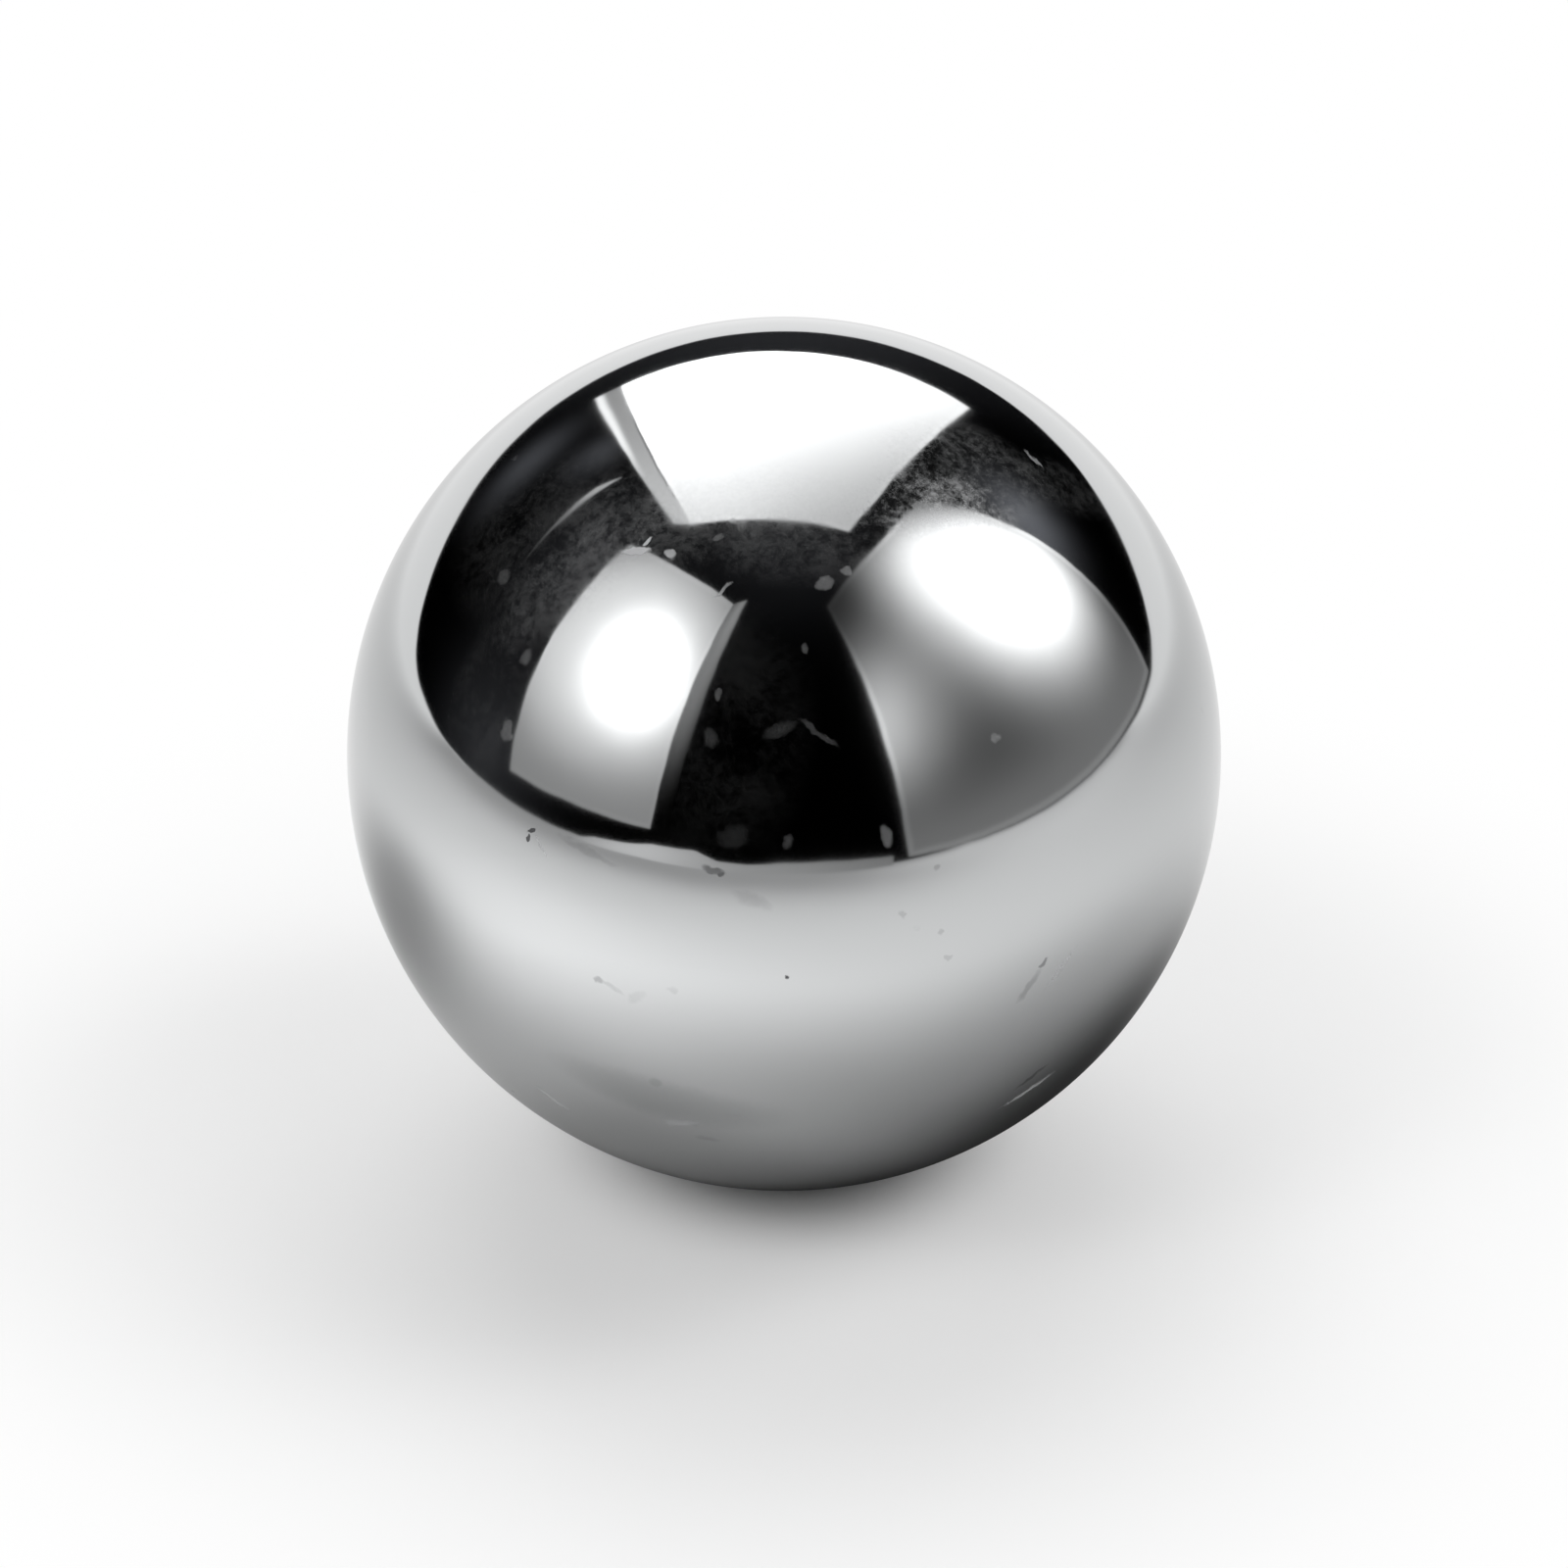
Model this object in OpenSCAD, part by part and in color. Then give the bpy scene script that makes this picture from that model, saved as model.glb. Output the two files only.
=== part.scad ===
// Solid steel ball, of the kind that runs in bearings.
// It is one piece: a forged blank that is ground, hardened and lapped to a true sphere.
// The origin is the centre of the ball, with +Z up. Lengths are in millimetres.

/* [Ball] */
// Diameter of the ball
ball_d = 25.4; // [5:0.1:100]

/* [Hidden] */
// Colour of bare, polished, hardened steel
polished_steel = [0.78, 0.79, 0.81];
// Segments round the equator of the drawn sphere
round_segments = 128;

// The whole ball: one solid sphere about the origin, with no flat, bore or seam
module ball() {
  color(polished_steel)
    sphere(d = ball_d, $fn = round_segments);
}

ball();
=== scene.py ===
import bpy
import math
import numpy as np
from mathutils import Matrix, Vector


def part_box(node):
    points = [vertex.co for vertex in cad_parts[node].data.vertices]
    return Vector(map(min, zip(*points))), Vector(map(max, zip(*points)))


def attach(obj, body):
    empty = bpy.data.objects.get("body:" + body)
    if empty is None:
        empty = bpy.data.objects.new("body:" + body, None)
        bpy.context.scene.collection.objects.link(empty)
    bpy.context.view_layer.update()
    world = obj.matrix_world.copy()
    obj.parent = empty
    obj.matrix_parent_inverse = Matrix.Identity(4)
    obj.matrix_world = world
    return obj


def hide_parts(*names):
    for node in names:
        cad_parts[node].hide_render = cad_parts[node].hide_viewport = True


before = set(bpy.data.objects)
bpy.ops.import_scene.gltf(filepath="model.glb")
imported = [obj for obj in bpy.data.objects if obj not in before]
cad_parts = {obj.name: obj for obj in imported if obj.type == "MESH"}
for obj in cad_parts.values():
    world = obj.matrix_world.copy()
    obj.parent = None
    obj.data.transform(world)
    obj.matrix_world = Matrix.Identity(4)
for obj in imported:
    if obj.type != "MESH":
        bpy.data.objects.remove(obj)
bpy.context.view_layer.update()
print("frame loaded:", ", ".join(sorted(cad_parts)))

mm = 0.001
low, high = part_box("ball")
ballRadius = max(high - low) / 2
tableZ = low.z                     # the table touches the ball's lowest point


def heading(azimuth, elevation):
    # unit vector away from the ball's centre: azimuth 0 faces the camera and grows to the right, degrees
    turn = math.radians(azimuth)
    rise = math.radians(elevation)
    return np.array([math.sin(turn) * math.cos(rise), -math.cos(turn) * math.cos(rise), math.sin(rise)])


def plug(tree, socket, value):
    # a socket given as the value is linked, anything else is typed in
    if isinstance(value, bpy.types.NodeSocket):
        tree.links.new(value, socket)
    else:
        socket.default_value = value


def addNode(tree, kind, inputs=None, **settings):
    node = tree.nodes.new("ShaderNode" + kind)
    for name, value in settings.items():
        setattr(node, name, value)
    for name, value in (inputs or {}).items():
        plug(tree, node.inputs[name], value)
    return node


def calc(tree, operation, *values, clamp=False):
    node = addNode(tree, "Math", operation=operation, use_clamp=clamp)
    for socket, value in zip(node.inputs, values):
        plug(tree, socket, value)
    return node.outputs[0]


def vectorCalc(tree, operation, *values, out="Vector"):
    node = addNode(tree, "VectorMath", operation=operation)
    for socket, value in zip(node.inputs, values):
        plug(tree, socket, value)
    return node.outputs[out]


def ease(tree, value, first, last, start=0.0, end=1.0):
    # slides from start to end as the value goes from first to last
    node = addNode(tree, "MapRange", {"Value": value, "From Min": first, "From Max": last, "To Min": start,
                                      "To Max": end}, interpolation_type="SMOOTHSTEP")
    return node.outputs["Result"]


def mixNumber(tree, factor, first, second):
    return addNode(tree, "Mix", {0: factor, 2: first, 3: second}, data_type="FLOAT").outputs[0]


def mixColour(tree, factor, first, second):
    ends = [value if isinstance(value, bpy.types.NodeSocket) else (*value, 1) for value in (first, second)]
    return addNode(tree, "Mix", {0: factor, 6: ends[0], 7: ends[1]}, data_type="RGBA").outputs[2]


def newGroup(name, vectors, numbers, result):
    # a group with the named vector and number inputs, which works out one number
    tree = bpy.data.node_groups.new(name, "ShaderNodeTree")
    for label in vectors:
        tree.interface.new_socket(label, in_out="INPUT", socket_type="NodeSocketVector")
    for label in numbers:
        tree.interface.new_socket(label, in_out="INPUT", socket_type="NodeSocketFloat")
    tree.interface.new_socket(result, in_out="OUTPUT", socket_type="NodeSocketFloat")
    given = tree.nodes.new("NodeGroupInput").outputs
    return tree, given, tree.nodes.new("NodeGroupOutput").inputs[result]


def useGroup(tree, group, **inputs):
    node = tree.nodes.new("ShaderNodeGroup")
    node.node_tree = group
    for name, value in inputs.items():
        plug(tree, node.inputs[name], value)
    return node


noiseMean = 0.5                     # noises and random colours vary about this


def makeGrain():
    # fine uneven specks: a small noise, lifted here and there by a coarser one, above a soft level
    coarseScale = 0.14              # of the coarse noise, where the fine one has 1
    lift = 0.7
    levels = (0.32, 0.76)           # the noise where specks begin, and where they are full
    strengths = (0.05, 1.4)         # between the specks, and in them
    tree, given, mask = newGroup("fine_grain", ["Vector"], ["Speck", "Cover", "Seed"], "Mask")
    moved = vectorCalc(tree, "ADD", given["Vector"], given["Seed"])
    fine = addNode(tree, "TexNoise", {"Vector": moved, "Scale": calc(tree, "DIVIDE", 1.0, given["Speck"]),
                                      "Detail": 4.0, "Roughness": 0.8})
    coarse = addNode(tree, "TexNoise", {"Vector": moved, "Detail": 1.0,
                                        "Scale": calc(tree, "DIVIDE", coarseScale, given["Speck"])})
    uneven = calc(tree, "SUBTRACT", coarse.outputs[0], noiseMean)
    lifted = calc(tree, "MULTIPLY_ADD", uneven, lift, fine.outputs[0])
    plug(tree, mask, calc(tree, "MULTIPLY", ease(tree, lifted, *levels, *strengths), given["Cover"]))
    return tree


def keptCells(tree, cells, share):
    # one in that share of a Voronoi pattern's cells, picked at random, and zero in the others
    pick = addNode(tree, "TexWhiteNoise", {"Vector": cells.outputs["Position"]}, noise_dimensions="3D")
    return calc(tree, "LESS_THAN", pick.outputs["Value"], share)


def makeNicks():
    # short straight nicks: each cell of a Voronoi pattern has one plane through its point, turned at random,
    # and the nick is where the surface lies within half a width of that plane and half a length of that point
    sharpSides = 0.4                # share of the half width that is at full depth
    sharpEnds = 0.5                 # share of the half length that is
    tree, given, mask = newGroup("nicks", ["Vector"], ["Cell", "Width", "Length", "Share", "Seed"], "Mask")
    moved = vectorCalc(tree, "ADD", given["Vector"], given["Seed"])
    cells = addNode(tree, "TexVoronoi", {"Vector": moved, "Scale": calc(tree, "DIVIDE", 1.0, given["Cell"])})
    offset = vectorCalc(tree, "SUBTRACT", moved, cells.outputs["Position"])
    turn = vectorCalc(tree, "SUBTRACT", cells.outputs["Color"], (noiseMean,) * 3)
    turn = vectorCalc(tree, "NORMALIZE", turn)
    across = calc(tree, "ABSOLUTE", vectorCalc(tree, "DOT_PRODUCT", offset, turn, out="Value"))
    along = vectorCalc(tree, "LENGTH", offset, out="Value")
    halfWidth = calc(tree, "MULTIPLY", given["Width"], 0.5)
    halfLength = calc(tree, "MULTIPLY", given["Length"], 0.5)
    line = ease(tree, across, calc(tree, "MULTIPLY", halfWidth, sharpSides), halfWidth, 1.0, 0.0)
    short = ease(tree, along, calc(tree, "MULTIPLY", halfLength, sharpEnds), halfLength, 1.0, 0.0)
    nick = calc(tree, "MULTIPLY", line, short)
    plug(tree, mask, calc(tree, "MULTIPLY", nick, keptCells(tree, cells, given["Share"])))
    return tree


def makePits():
    # round pits: near each kept cell point, as deep as the surface passes close to it
    wobbleScale = 1.2               # waves of the uneven rim across one pit's size
    flatShare = 0.3                 # share of the size that is at full depth
    tree, given, mask = newGroup("pits", ["Vector"], ["Cell", "Size", "Share", "Seed"], "Mask")
    moved = vectorCalc(tree, "ADD", given["Vector"], given["Seed"])
    wobble = addNode(tree, "TexNoise", {"Vector": moved,
                                        "Scale": calc(tree, "DIVIDE", wobbleScale, given["Size"])})
    bent = vectorCalc(tree, "MULTIPLY_ADD", wobble.outputs["Color"], given["Size"], moved)
    cells = addNode(tree, "TexVoronoi", {"Vector": bent, "Scale": calc(tree, "DIVIDE", 1.0, given["Cell"])})
    away = calc(tree, "MULTIPLY", cells.outputs["Distance"], given["Cell"])
    spot = ease(tree, away, calc(tree, "MULTIPLY", given["Size"], flatShare), given["Size"], 1.0, 0.0)
    plug(tree, mask, calc(tree, "MULTIPLY", spot, keptCells(tree, cells, given["Share"])))
    return tree


def makeSpot():
    # a soft-edged oval: height * exp(-d ** power), where d is the distance from the centre in spreads, so
    # that a higher power has a flatter top
    tree, given, value = newGroup("soft_spot", ["Vector", "Centre", "Spread"], ["Power", "Height"], "Value")
    offset = vectorCalc(tree, "SUBTRACT", given["Vector"], given["Centre"])
    offset = vectorCalc(tree, "DIVIDE", offset, given["Spread"])
    away = vectorCalc(tree, "LENGTH", offset, out="Value")
    raised = calc(tree, "POWER", away, given["Power"])
    fall = calc(tree, "EXPONENT", calc(tree, "MULTIPLY", raised, -1.0))
    plug(tree, value, calc(tree, "MULTIPLY", fall, given["Height"]))
    return tree


def makeMark():
    # one oval mark on the ball: the amount in its middle, and soft-edged where the squares of the distances
    # along and across it, in half lengths and half widths, add up to one
    elsewhere = 9.0                 # added on the other side of the ball, so that the mark isn't there too
    vectors = ["Vector", "Middle", "Along", "Across"]
    tree, given, value = newGroup("mark", vectors, ["Soft", "Amount"], "Value")
    along = vectorCalc(tree, "DOT_PRODUCT", given["Vector"], given["Along"], out="Value")
    across = vectorCalc(tree, "DOT_PRODUCT", given["Vector"], given["Across"], out="Value")
    away = calc(tree, "MULTIPLY_ADD", along, along, calc(tree, "MULTIPLY", across, across))
    side = vectorCalc(tree, "DOT_PRODUCT", given["Vector"], given["Middle"], out="Value")
    away = calc(tree, "MULTIPLY_ADD", calc(tree, "LESS_THAN", side, 0.0), elsewhere, away)
    inner = calc(tree, "SUBTRACT", 1.0, given["Soft"])
    outer = calc(tree, "ADD", 1.0, given["Soft"])
    plug(tree, value, ease(tree, away, inner, outer, given["Amount"], 0.0))
    return tree


grainGroup = makeGrain()
nicksGroup = makeNicks()
pitsGroup = makePits()
spotGroup = makeSpot()
markGroup = makeMark()
print("node groups made")


def addSpots(tree, total, where, spots):
    # adds soft ovals to a value: each is its height, place across and up, spread across and up, and power
    for height, x, y, spreadX, spreadY, power in spots:
        spot = useGroup(tree, spotGroup, Vector=where, Centre=(x, y, 0), Spread=(spreadX, spreadY, 1),
                        Power=power, Height=height)
        total = calc(tree, "ADD", spot.outputs["Value"], total)
    return total


def tellRays(tree):
    # the kinds of ray, and whether one comes straight from the camera
    rays = addNode(tree, "LightPath").outputs
    looked = calc(tree, "ADD", rays["Is Camera Ray"], rays["Is Transmission Ray"], clamp=True)
    return rays, looked


def squareCorners(grid):
    # the values at the four corners of every square of a grid, in order round the square
    return np.stack([grid[:-1, :-1], grid[1:, :-1], grid[1:, 1:], grid[:-1, 1:]], axis=2)


def cubeSphere(radius, cells, margin):
    # One side of a cube is a grid of two angles from -45 to 45 degrees. Its points are (1, tan a, tan b)
    # brought to length one, which spaces them almost evenly over the ball. The other five sides are the
    # same grid turned, and points on the cube's edges are merged, so the ball is closed and has no poles.
    decimals = 9                    # points that agree so far are one point
    angle = np.linspace(-math.pi / 4, math.pi / 4, cells + 1)
    a, b = np.meshgrid(angle, angle, indexing="ij")
    plus = np.stack([np.ones_like(a), np.tan(a), np.tan(b)], axis=-1)
    plus /= np.linalg.norm(plus, axis=-1, keepdims=True)
    minus = plus[..., [0, 2, 1]] * (-1, 1, 1)
    sides = [np.roll(side, turn, axis=-1) for turn in range(3) for side in (plus, minus)]
    points = np.round(np.concatenate([side.reshape(-1, 3) for side in sides]), decimals)
    points, merged = np.unique(points, axis=0, return_inverse=True)
    merged = merged.reshape(6, cells + 1, cells + 1)
    quads = [squareCorners(side).reshape(-1, 4) for side in merged]
    # the map lays the six sides out three across and two up, with a margin round each
    place = margin + (1 - 2 * margin) * np.linspace(0, 1, cells + 1)
    u, v = np.meshgrid(place, place, indexing="ij")
    sheet = [np.stack([(k % 3 + u) / 3, (k // 3 + v) / 2], axis=-1) for k in range(6)]
    maps = [squareCorners(side).reshape(-1, 2) for side in sheet]
    return points * radius, np.concatenate(quads), np.concatenate(maps)


def mapGrid(columns, rows):
    # the places across and up of a grid's points, both from 0 to 1
    return np.meshgrid(np.linspace(0, 1, columns + 1), np.linspace(0, 1, rows + 1), indexing="ij")


def gridMesh(points, u, v):
    # a grid of points as a list, the squares between them, and the place on the map of each square's corners
    index = np.arange(u.size).reshape(u.shape)
    maps = squareCorners(np.stack([u, v], axis=-1))
    return points.reshape(-1, 3), squareCorners(index).reshape(-1, 4), maps.reshape(-1, 2)


def flatPatch(corners, cells, bow=(0.0, 0.0)):
    # The point at (u, v) is the mix of the four corners: bottom left, bottom right, top right, top left. A
    # bow moves the left and right edges sideways by shares of the width, in full at half height and by
    # 4v(1 - v) of that elsewhere, and the points between by a mix of the two.
    u, v = mapGrid(cells, cells)
    bottomLeft, bottomRight, topRight, topLeft = (np.array(c, float) for c in corners)
    moved = u + 4 * v * (1 - v) * (bow[0] * (1 - u) + bow[1] * u)
    across = moved[..., None]
    up = v[..., None]
    bottom = bottomLeft * (1 - across) + bottomRight * across
    top = topLeft * (1 - across) + topRight * across
    return gridMesh(bottom * (1 - up) + top * up, u, v)


def meshObject(name, points, quads, maps, mapName, material, smooth):
    mesh = bpy.data.meshes.new(name)
    mesh.from_pydata(points, [], quads)
    layer = mesh.uv_layers.new(name=mapName)
    layer.data.foreach_set("uv", maps.astype(np.float32).reshape(-1))
    mesh.materials.append(material)
    mesh.polygons.foreach_set("use_smooth", np.full(len(quads), smooth))
    mesh.update()
    obj = bpy.data.objects.new(name, mesh)
    bpy.context.scene.collection.objects.link(obj)
    return obj


def newMaterial(name):
    material = bpy.data.materials.new(name)
    material.use_nodes = True
    material.node_tree.nodes.clear()
    return material, material.node_tree


steel = {
    "colour": (0.575, 0.584, 0.588),       # bare hardened steel
    "polish": 0.045,                       # roughness of the clean lapped surface
    "filmRoughness": 0.065,                # under a thin film of old oil
    "filmSize": 8.5 * mm,
    "filmLevels": (0.42, 0.60),            # of its noise: clean steel, and full film
    "dustColour": (0.52, 0.525, 0.54),
    "dustRoughness": 0.40,
    "grain": {"Speck": 0.26 * mm, "Seed": 7.7},
    "specks": {"Cell": 2.6 * mm, "Size": 0.16 * mm, "Share": 0.30, "Seed": 5.1},
    "speckAmount": 0.10,
    "cutColour": (0.10, 0.10, 0.105),      # the bottom of a pit or nick
    "cutRoughness": 0.35,
    "nicks": {"Cell": 3.4 * mm, "Width": 0.04 * mm, "Length": 1.2 * mm, "Seed": 1.3},
    "nickShare": (0.04, 0.40),             # on the side whose marks are listed below, and on the far side
    "pits": {"Cell": 3.0 * mm, "Size": 0.08 * mm, "Seed": 2.4},
    "pitShare": (0.15, 0.55),
    "farSide": (-0.2, 0.5),                # radii behind the middle, where one share turns into the other
    "cutDepth": 0.008 * mm,
    "ragged": 0.14 * mm,                   # how far the marks' edges wander
    "raggedSize": 0.28 * mm,
    "waveHeight": 0.010 * mm,              # waviness left by lapping
    "waveSize": 3.0 * mm,
}

# Marks are azimuth and elevation on the ball, length and width in mm, slant in degrees, softness of the edge,
# and amount.
dustPatches = [
    (38, 58, 4.4, 2.0, -20, 1.0, 0.20),
    (52, 61, 4.6, 3.4, -36, 1.0, 0.12),
    (74, 51, 3.4, 1.8, -48, 1.0, 0.04),
    (-10, 60, 9.0, 3.4, 0, 1.0, 0.065),
    (-50, 51, 6.5, 5.0, 30, 1.0, 0.028),
    (-42, 46, 4.6, 2.2, 62, 1.0, 0.065),
    (-47, 27, 2.4, 5.0, 0, 1.0, 0.025),
    (-9, 31, 4.0, 6.0, 0, 1.0, 0.014),
]

# smears and specks of dust
smears = [
    (-31.5, 52, 0.80, 0.22, 20, 0.6, 0.95),
    (-30, 53.5, 0.36, 0.14, 48, 0.5, 0.90),
    (-24, 52.5, 0.36, 0.22, -30, 0.6, 0.50),
    (-10, 35.5, 0.16, 0.36, 10, 0.7, 0.13),
    (-10.5, 30, 0.36, 0.50, 20, 0.9, 0.06),
    (-33, 12.5, 0.80, 0.10, -48, 0.5, 0.22),
    (-37, -30.5, 1.10, 0.26, -42, 1.0, 0.30),
    (-15, -28, 0.95, 0.26, 12, 1.0, 0.26),
    (38, -6.5, 1.30, 0.20, 46, 0.9, 0.30),
    (39, -29.5, 1.50, 0.24, 30, 0.9, 0.50),
    (-0.5, 31.5, 0.90, 0.34, 22, 0.8, 0.05),
    (5, 31, 1.20, 0.16, -38, 0.6, 0.08),
    (0.5, 17.5, 0.26, 0.42, 0, 0.7, 0.08),
    (13.5, 17.5, 0.28, 0.60, 12, 0.7, 0.20),
    (-6.5, 18, 0.80, 0.60, 20, 1.0, 0.035),
    (8, 50, 0.50, 0.34, 24, 0.5, 0.20),
    (12.5, 51.5, 0.26, 0.26, 0, 0.6, 0.22),
    (3.5, 41.5, 0.22, 0.26, 0, 0.6, 0.12),
    (31, 27, 0.26, 0.26, 0, 0.6, 0.22),
    (76, 55, 0.70, 0.13, -105, 0.6, 0.34),
    (-42, 25, 0.36, 0.60, 20, 0.7, 0.16),
    (-43, 34.5, 0.38, 0.44, -20, 0.7, 0.13),
    (-10, 58, 0.36, 0.40, 0, 0.8, 0.13),
    (-15, 56, 0.30, 0.22, 50, 0.6, 0.16),
    (-12, 58.5, 0.24, 0.20, 0, 0.6, 0.14),
    (-7, 57, 0.22, 0.26, 0, 0.6, 0.10),
    (-11.5, 49, 0.60, 0.12, 55, 0.6, 0.30),
    (-56, 42, 0.44, 0.44, 0, 0.8, 0.10),
]

# cuts and stains
cuts = [
    (-34.5, 14, 0.30, 0.13, 28, 0.3, 0.95),
    (-35, 13, 0.12, 0.18, 0, 0.3, 0.9),
    (-24, -4, 0.30, 0.22, -20, 0.8, 0.36),
    (-22.5, -4.5, 0.80, 0.14, -28, 1.0, 0.16),
    (-19, -5.5, 0.60, 0.30, 45, 1.0, 0.10),
    (-14, -3.5, 0.30, 0.20, 0, 1.0, 0.12),
    (-9, 13.5, 0.60, 0.22, -16, 0.7, 0.55),
    (-8, 13, 0.20, 0.14, 0, 0.5, 0.70),
    (-26, 13.5, 1.60, 0.20, -14, 1.0, 0.20),
    (-4, 10, 1.00, 0.36, -20, 1.0, 0.16),
    (-16.5, -23.5, 5.60, 1.60, -10, 1.0, 0.22),
    (-17.5, -20, 0.46, 0.36, 0, 1.0, 0.28),
    (-7.5, -25, 0.95, 0.18, -6, 1.0, 0.22),
    (-11.5, -31.5, 0.60, 0.24, -12, 1.0, 0.18),
    (35, -4.5, 0.34, 0.16, 50, 0.7, 0.56),
    (33, -7.5, 1.00, 0.20, 52, 1.0, 0.30),
    (38, -26, 1.00, 0.16, 36, 0.9, 0.55),
    (20, 12.5, 0.20, 0.16, 0, 0.8, 0.26),
    (15, 7, 0.16, 0.30, 0, 0.8, 0.20),
    (20, 4, 0.16, 0.16, 0, 0.8, 0.22),
    (21, 0, 0.22, 0.20, 0, 0.8, 0.20),
]


def addMarks(tree, total, where, operation, marks):
    # joins oval marks to a value by the operation
    for azimuth, elevation, length, width, slant, soft, amount in marks:
        turn = math.radians(azimuth)
        tilt = math.radians(slant)
        middle = heading(azimuth, elevation)
        sideways = np.array([math.cos(turn), math.sin(turn), 0])
        up = np.cross(middle, sideways)
        along = sideways * math.cos(tilt) + up * math.sin(tilt)
        across = np.cross(middle, along)
        mark = useGroup(tree, markGroup, Vector=where, Middle=middle, Along=along / (length * mm / 2),
                        Across=across / (width * mm / 2), Soft=soft, Amount=amount)
        total = calc(tree, operation, mark.outputs["Value"], total)
    return total


def makeSteel(name, values):
    material, tree = newMaterial(name)
    where = addNode(tree, "TexCoord").outputs["Object"]
    # marks have edges made uneven by a small noise
    wander = addNode(tree, "TexNoise", {"Vector": where, "Scale": 1 / values["raggedSize"], "Detail": 2.0})
    wander = vectorCalc(tree, "SUBTRACT", wander.outputs["Color"], (noiseMean,) * 3)
    uneven = vectorCalc(tree, "MULTIPLY_ADD", wander, (2 * values["ragged"],) * 3, where)

    # dust: fine grain in the patches, a few specks anywhere, and smears
    cover = addMarks(tree, 0.0, where, "ADD", dustPatches)
    grain = useGroup(tree, grainGroup, Vector=where, Cover=cover, **values["grain"]).outputs["Mask"]
    specks = useGroup(tree, pitsGroup, Vector=where, **values["specks"]).outputs["Mask"]
    dust = calc(tree, "MULTIPLY_ADD", specks, values["speckAmount"], grain)
    dust = addMarks(tree, dust, uneven, "MAXIMUM", smears)

    # nicks and pits, which grow more common toward the far side, then cuts and stains
    behind = addNode(tree, "SeparateXYZ", {0: where}).outputs["Y"]
    farSide = [radii * ballRadius for radii in values["farSide"]]
    nickShare = ease(tree, behind, *farSide, *values["nickShare"])
    pitShare = ease(tree, behind, *farSide, *values["pitShare"])
    nicks = useGroup(tree, nicksGroup, Vector=where, Share=nickShare, **values["nicks"]).outputs["Mask"]
    pits = useGroup(tree, pitsGroup, Vector=where, Share=pitShare, **values["pits"]).outputs["Mask"]
    sharp = calc(tree, "MAXIMUM", pits, nicks)
    cut = addMarks(tree, sharp, uneven, "MAXIMUM", cuts)

    colour = mixColour(tree, dust, values["colour"], values["dustColour"])
    colour = mixColour(tree, cut, colour, values["cutColour"])
    film = addNode(tree, "TexNoise", {"Vector": where, "Scale": 1 / values["filmSize"], "Detail": 3.0,
                                      "Distortion": 0.5})
    clean = ease(tree, film.outputs[0], *values["filmLevels"], values["polish"], values["filmRoughness"])
    rough = mixNumber(tree, dust, clean, values["dustRoughness"])
    rough = mixNumber(tree, cut, rough, values["cutRoughness"])

    waves = addNode(tree, "TexNoise", {"Vector": where, "Scale": 1 / values["waveSize"], "Detail": 2.0,
                                       "Roughness": 0.45})
    relief = calc(tree, "SUBTRACT", calc(tree, "MULTIPLY", waves.outputs[0], values["waveHeight"]),
                  calc(tree, "MULTIPLY", sharp, values["cutDepth"]))
    bump = addNode(tree, "Bump", {"Strength": 1.0, "Distance": 1.0, "Height": relief})
    shader = addNode(tree, "BsdfPrincipled", {"Base Color": colour, "Roughness": rough,
                                              "Metallic": calc(tree, "SUBTRACT", 1.0, dust),
                                              "Normal": bump.outputs[0]})
    addNode(tree, "OutputMaterial", {"Surface": shader.outputs[0]})
    return material


ball = {
    "cells": 112,          # squares along each edge of the cube that the ball is drawn from
    "mapMargin": 0.02,     # round each side of the cube on the map, as a share of that side
}

points, quads, maps = cubeSphere(ballRadius, ball["cells"], ball["mapMargin"])
polishedBall = meshObject("polished_ball", points, quads, maps, "OFBake",
                          makeSteel("polished_steel", steel), True)
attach(polishedBall, "root")
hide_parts("ball")
print("ball made: radius", round(ballRadius / mm, 3), "mm,", len(quads) * 2, "triangles")


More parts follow.
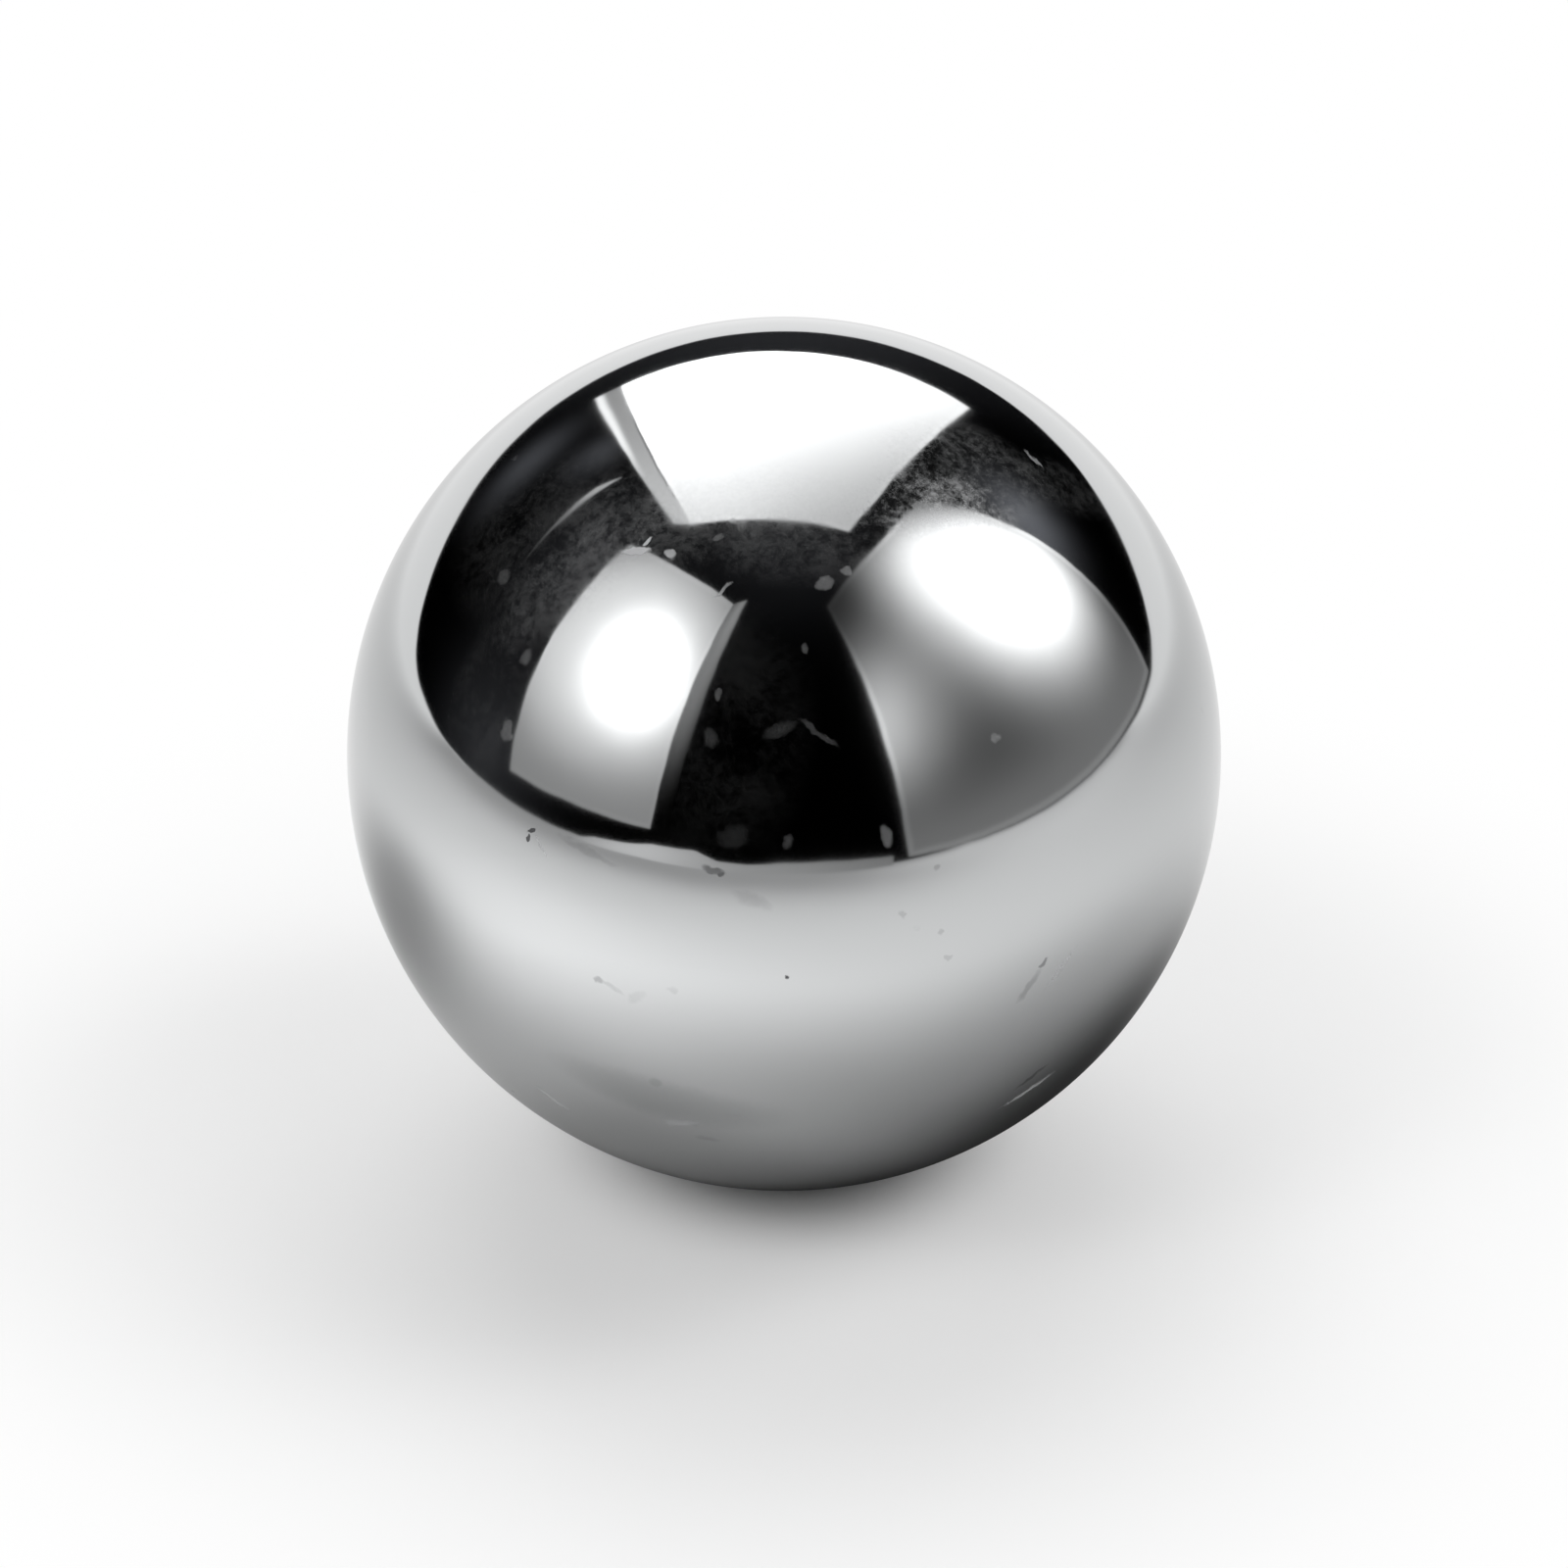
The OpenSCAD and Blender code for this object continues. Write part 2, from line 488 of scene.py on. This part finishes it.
# The studio is a white table in a dark room with three softboxes. Corners go bottom left, bottom right, top
# right, top left as the ball sees them, each with azimuth and elevation. Spots are brightness, place across
# and up, spread across and up, and power.
softboxes = {
    "top_box": {
        "corners": [(-161, 18), (155, 22), (88, 75.5), (-99, 69.5)],
        "bow": (-0.02, 0.04),
        "glow": 0.72,
        "spots": [(2.2, 0.25, 0.0, 0.75, 0.75, 3), (0.4, 0.0, 1.0, 0.6, 0.4, 2)],
        "rim": 1.1,
    },
    # painted light: the flap is no lamp, and glows for the light falling on it
    "top_flap": {
        "corners": [(-158, 16.5), (-161, 18), (-99, 69.5), (-102, 65.5)],
        "bow": (-0.25, -0.3),
        "glow": 0.4,
        "spots": [(1.2, 0.1, 0.2, 0.25, 0.4, 4), (0.5, 0.5, 1.0, 3.0, 0.6, 2)],
        "rim": 1.0,
    },
    "left_box": {
        "corners": [(-34, 5), (-75.5, 4), (-97, 56), (-30, 65)],
        "bow": (-0.01, 0.0),
        "glow": 0.38,
        "spots": [(0.85, 0.5, 0.6, 0.7, 0.4, 4), (6.0, 0.36, 0.57, 0.22, 0.15, 2)],
        "rim": 1.1,
    },
    # painted light: the flap is no lamp, and glows only in its spots for the light falling on it
    "left_flap": {
        "corners": [(-29, 10), (-33.5, 8), (-30, 65), (-23, 67)],
        "bow": (-0.1, -0.1),
        "glow": 0.0,
        "spots": [(0.3, 0.6, 0.7, 0.8, 0.4, 3), (0.2, 0.2, 1.0, 0.4, 0.25, 2)],
        "rim": 1.0,
    },
    "right_box": {
        "corners": [(117, -1), (31, -1), (25, 65), (118, 58)],
        "bow": (0.0, 0.0),
        "glow": 0.03,
        # the lamp and its bright middle, then the glow beside it, at the near side and along the foot
        "spots": [(2.2, 0.27, 0.62, 0.28, 0.34, 3), (4.0, 0.27, 0.55, 0.15, 0.15, 2),
                  (0.8, 0.52, 0.75, 0.2, 0.25, 2), (0.85, 1.0, 0.5, 0.25, 0.22, 2),
                  (0.22, 0.5, 0.0, 1.5, 0.2, 2)],
        "rim": 1.4,
    },
    # painted highlight: the lamp's arm is no lamp, and glows for the light along it in the mirror
    "light_arm": {
        "corners": [(-110, 28), (-127.5, 43.5), (-130.5, 48.5), (-111, 29.5)],
        "bow": (0.0, 0.0),
        "glow": 0.03,
        "spots": [(0.66, 1.0, 0.5, 0.45, 2.0, 2)],
        "rim": 1.0,
    },
}
softboxAway = 0.9              # metres from the ball to every corner
softboxCells = 12              # squares along each edge
rimBand = (0.470, 0.485)       # where the rim begins and is full, from the middle of a map that ends at 0.5


def makeGlow(name, values):
    # an even glow with soft brighter spots and a lighter rim, on the side that faces the ball
    material, tree = newMaterial(name)
    where = addNode(tree, "UVMap", uv_map="UVMap").outputs[0]
    light = addSpots(tree, values["glow"], where, values["spots"])
    if values["rim"] > 1:
        fromMiddle = vectorCalc(tree, "ABSOLUTE", vectorCalc(tree, "SUBTRACT", where, (0.5, 0.5, 0.0)))
        place = addNode(tree, "SeparateXYZ", {0: fromMiddle}).outputs
        rim = ease(tree, calc(tree, "MAXIMUM", place["X"], place["Y"]), *rimBand, 1.0, values["rim"])
        light = calc(tree, "MULTIPLY", light, rim)
    front = calc(tree, "SUBTRACT", 1.0, addNode(tree, "NewGeometry").outputs["Backfacing"])
    material.cycles.emission_sampling = "FRONT"
    emission = addNode(tree, "Emission", {"Strength": calc(tree, "MULTIPLY", light, front)})
    addNode(tree, "OutputMaterial", {"Surface": emission.outputs[0]})
    return material


for name, values in softboxes.items():
    corners = [heading(azimuth, elevation) * softboxAway for azimuth, elevation in values["corners"]]
    points, quads, maps = flatPatch(corners, softboxCells, values["bow"])
    panel = meshObject(name, points, quads, maps, "UVMap", makeGlow(name, values), False)
    panel.visible_camera = False
print("softboxes made:", len(softboxes))


# the lifted edge of the paper in front of the table, seen from the ball just above the horizon; it is no
# lamp, and glows as painted light for the light on the paper
paper = {
    "away": 0.35,              # metres
    "bottom": -2.4,            # elevation
    # how high its torn top edge reaches: azimuth and elevation
    "top": [(-54, -2), (-48, -0.2), (-40, 0.5), (-33, 2), (-22, 2.4), (-16, 0.5), (-9, 0.2), (0, 0.8),
            (12, 0.9), (27, 0.3)],
    "glow": 0.26,
    "spots": [(0.50, 0.20, 0.5, 0.22, 2.0, 2.0), (0.16, 0.60, 0.5, 0.28, 2.0, 2.0)],
    "rim": 1.0,
    "columns": 80,             # squares along and up the strip
    "rows": 4,
}


def paperStrip(values):
    # Each column stands at one azimuth, and its height runs from the bottom to the torn edge there.
    azimuths, tops = np.array(values["top"]).T
    u, v = mapGrid(values["columns"], values["rows"])
    azimuth = azimuths[-1] + (azimuths[0] - azimuths[-1]) * u
    height = values["bottom"] * (1 - v) + np.interp(azimuth, azimuths, tops) * v
    turn = np.radians(azimuth)
    rise = np.radians(height)
    points = values["away"] * np.stack([np.sin(turn), -np.cos(turn), np.tan(rise)], axis=-1)
    return gridMesh(points, 1 - u, v)


# painted light: the paper edge glows, and only the ball's mirror shows it
points, quads, maps = paperStrip(paper)
strip = meshObject("paper_edge", points, quads, maps, "UVMap", makeGlow("paper_edge", paper), False)
strip.visible_camera = False
print("paper edge made")


# distances on the table are in ball radii from the point under the ball, but its size is in metres
table = {
    "colour": (0.93, 0.93, 0.93),
    "size": 0.80,
    "cells": 8,                # squares along each edge
    "whiteFrom": 1.1,          # the lit table gives way to plain white between these distances
    "whiteTo": 2.6,
    "nearWhite": 0.34,         # how far it has already gone just outside the shadow under the ball
    "nearFrom": 0.25,
    "nearTo": 0.62,
    "contactShade": 0.45,           # painted shadow: the share of colour left under the ball in the mirror
    "contactShadeTo": 1.15,
    # softer shade to the right and left of the contact: amount, x y, spread x y, power
    "shades": [(0.56, 1.0, -0.3, 1.3, 1.2, 2.5), (0.41, 0.55, 0.3, 0.90, 0.95, 4.0),
               (0.58, -1.9, 0.35, 1.0, 0.85, 2.5)],
    # painted light and shade in the mirror, how bright the white is there: an even part, then brightness, x
    # y, spread x y, power
    "paintedMirrorEven": 0.45,
    "paintedMirrorPools": [(0.58, -1, -2, 10, 7, 2), (0.35, 18, -8, 12, 16, 4), (0.3, -1.8, -1.4, 2.2, 1.8, 2)],
    "backFrom": 2.0,           # behind the ball it is evenly white again
    "backTo": 9.0,
}


def makeTable(values):
    # lit white near the ball, where its shadow falls, and plain white farther out for what is seen or
    # mirrored. In the mirror it also has a painted shadow under the ball, painted shades beside it, and
    # painted pools of light and shade
    material, tree = newMaterial("white_table")
    where = addNode(tree, "TexCoord").outputs["Object"]
    flat = vectorCalc(tree, "MULTIPLY", where, (1 / ballRadius, 1 / ballRadius, 0))
    away = vectorCalc(tree, "LENGTH", flat, out="Value")
    rays, looked = tellRays(tree)
    mirrored = rays["Is Glossy Ray"]

    far = ease(tree, away, values["whiteFrom"], values["whiteTo"])
    near = ease(tree, away, values["nearFrom"], values["nearTo"], 0.0, values["nearWhite"])
    direct = calc(tree, "MULTIPLY", calc(tree, "MAXIMUM", mixNumber(tree, far, near, 1.0), far), looked)
    white = calc(tree, "ADD", direct, calc(tree, "MULTIPLY", far, mirrored))

    depth = addNode(tree, "SeparateXYZ", {0: flat}).outputs["Y"]
    behind = ease(tree, depth, values["backFrom"], values["backTo"])
    # painted light and shade: brighter and dimmer pools on the white, which only the mirror shows
    paintedPools = addSpots(tree, values["paintedMirrorEven"], flat, values["paintedMirrorPools"])
    paintedPools = mixNumber(tree, behind, paintedPools, 1.0)

    # painted shadow under the ball, which only the mirror shows: the table's colour is darkened there
    contactShade = ease(tree, away, 0.0, values["contactShadeTo"], values["contactShade"], 1.0)
    shades = addSpots(tree, 0.0, flat, values["shades"])
    unshaded = calc(tree, "SUBTRACT", 1.0, shades, clamp=True)
    strength = mixNumber(tree, mirrored, 1.0, calc(tree, "MULTIPLY", paintedPools, unshaded))
    shade = mixNumber(tree, mirrored, 1.0, calc(tree, "MULTIPLY", contactShade, unshaded))
    colour = addNode(tree, "VectorMath", {0: values["colour"], "Scale": shade}, operation="SCALE")
    lit = addNode(tree, "BsdfDiffuse", {"Color": colour.outputs[0]})
    plain = addNode(tree, "Emission", {"Strength": strength})
    mix = addNode(tree, "MixShader", {0: white, 1: lit.outputs[0], 2: plain.outputs[0]})
    addNode(tree, "OutputMaterial", {"Surface": mix.outputs[0]})
    return material


half = table["size"] / 2
corners = [(-half, -half, tableZ), (half, -half, tableZ), (half, half, tableZ), (-half, half, tableZ)]
points, quads, maps = flatPatch(corners, table["cells"])
meshObject("table", points, quads, maps, "UVMap", makeTable(table), False)


room = {
    "ambient": 0.12,                # light of the room on the table
    "tint": (0.93, 0.96, 1.06),     # of what little light the dark room sends back
    # the low white backdrop behind the table, in y and z of a unit vector: the y where it begins to rise and
    # where it is at its full height, the z at both, and half the width of its soft edge
    "backdropPlace": (0.45, 0.85),
    "backdropHeight": (-0.04, 0.08),
    "backdropSoft": 0.006,
    # glows that show in the steel: azimuth, elevation, spread, brightness
    "glows": [(0, 86, 0.34, 0.018), (122, 32, 0.15, 0.20), (-144, 18, 0.12, 0.08), (-141, 37, 0.10, 0.07),
              (-100, 45, 0.30, 0.022), (180, 12, 0.30, 0.03), (-85, 4, 0.30, 0.030), (75, -1, 0.35, 0.05)],
}


def makeRoom(values):
    # plain white where the camera looks straight at it, a dark room in the mirror of the ball
    world = bpy.data.worlds.new("dark_room")
    world.use_nodes = True
    world.cycles.sampling_method = "NONE"      # it lights too little to be worth sampling
    tree = world.node_tree
    tree.nodes.clear()
    rays, looked = tellRays(tree)
    mirrored = rays["Is Glossy Ray"]
    way = addNode(tree, "TexCoord").outputs["Generated"]
    split = addNode(tree, "SeparateXYZ", {0: way}).outputs
    top = ease(tree, split["Y"], *values["backdropPlace"], *values["backdropHeight"])
    above = calc(tree, "SUBTRACT", split["Z"], top)
    backdrop = ease(tree, above, -values["backdropSoft"], values["backdropSoft"], 1.0, 0.0)
    strength = calc(tree, "MULTIPLY_ADD", backdrop, mirrored, looked)
    strength = calc(tree, "MULTIPLY_ADD", rays["Is Diffuse Ray"], values["ambient"], strength)
    plain = addNode(tree, "Background", {"Color": (1, 1, 1, 1), "Strength": strength})

    light = 0.0
    for azimuth, elevation, spread, brightness in values["glows"]:
        glow = useGroup(tree, spotGroup, Vector=way, Centre=heading(azimuth, elevation), Power=2.0,
                        Spread=(spread, spread, spread), Height=brightness)
        light = calc(tree, "ADD", glow.outputs["Value"], light)
    tinted = addNode(tree, "Background", {"Color": (*values["tint"], 1),
                                          "Strength": calc(tree, "MULTIPLY", light, mirrored)})
    both = addNode(tree, "AddShader", {0: plain.outputs[0], 1: tinted.outputs[0]})
    addNode(tree, "OutputWorld", {"Surface": both.outputs[0]})
    return world


scene = bpy.context.scene
scene.world = makeRoom(room)
scene.view_settings.view_transform = "Standard"
print("table and room made")


view = {
    "elevation": 28.7,     # degrees above the table
    "distance": 0.216,     # metres
    "lens": 170,
    "sensor": 36,          # millimetres across, like the lens
    "clip": (0.01, 20),    # metres
    "aim": (0.0, 0.0, -1.0 * mm),
}

camera = bpy.data.objects.new("camera", bpy.data.cameras.new("camera"))
camera.data.lens = view["lens"]
camera.data.sensor_width = view["sensor"]
camera.data.clip_start, camera.data.clip_end = view["clip"]
camera.location = view["aim"] + heading(0, view["elevation"]) * view["distance"]
camera.rotation_euler = (math.radians(90 - view["elevation"]), 0, 0)
scene.collection.objects.link(camera)
scene.camera = camera
print("camera made")
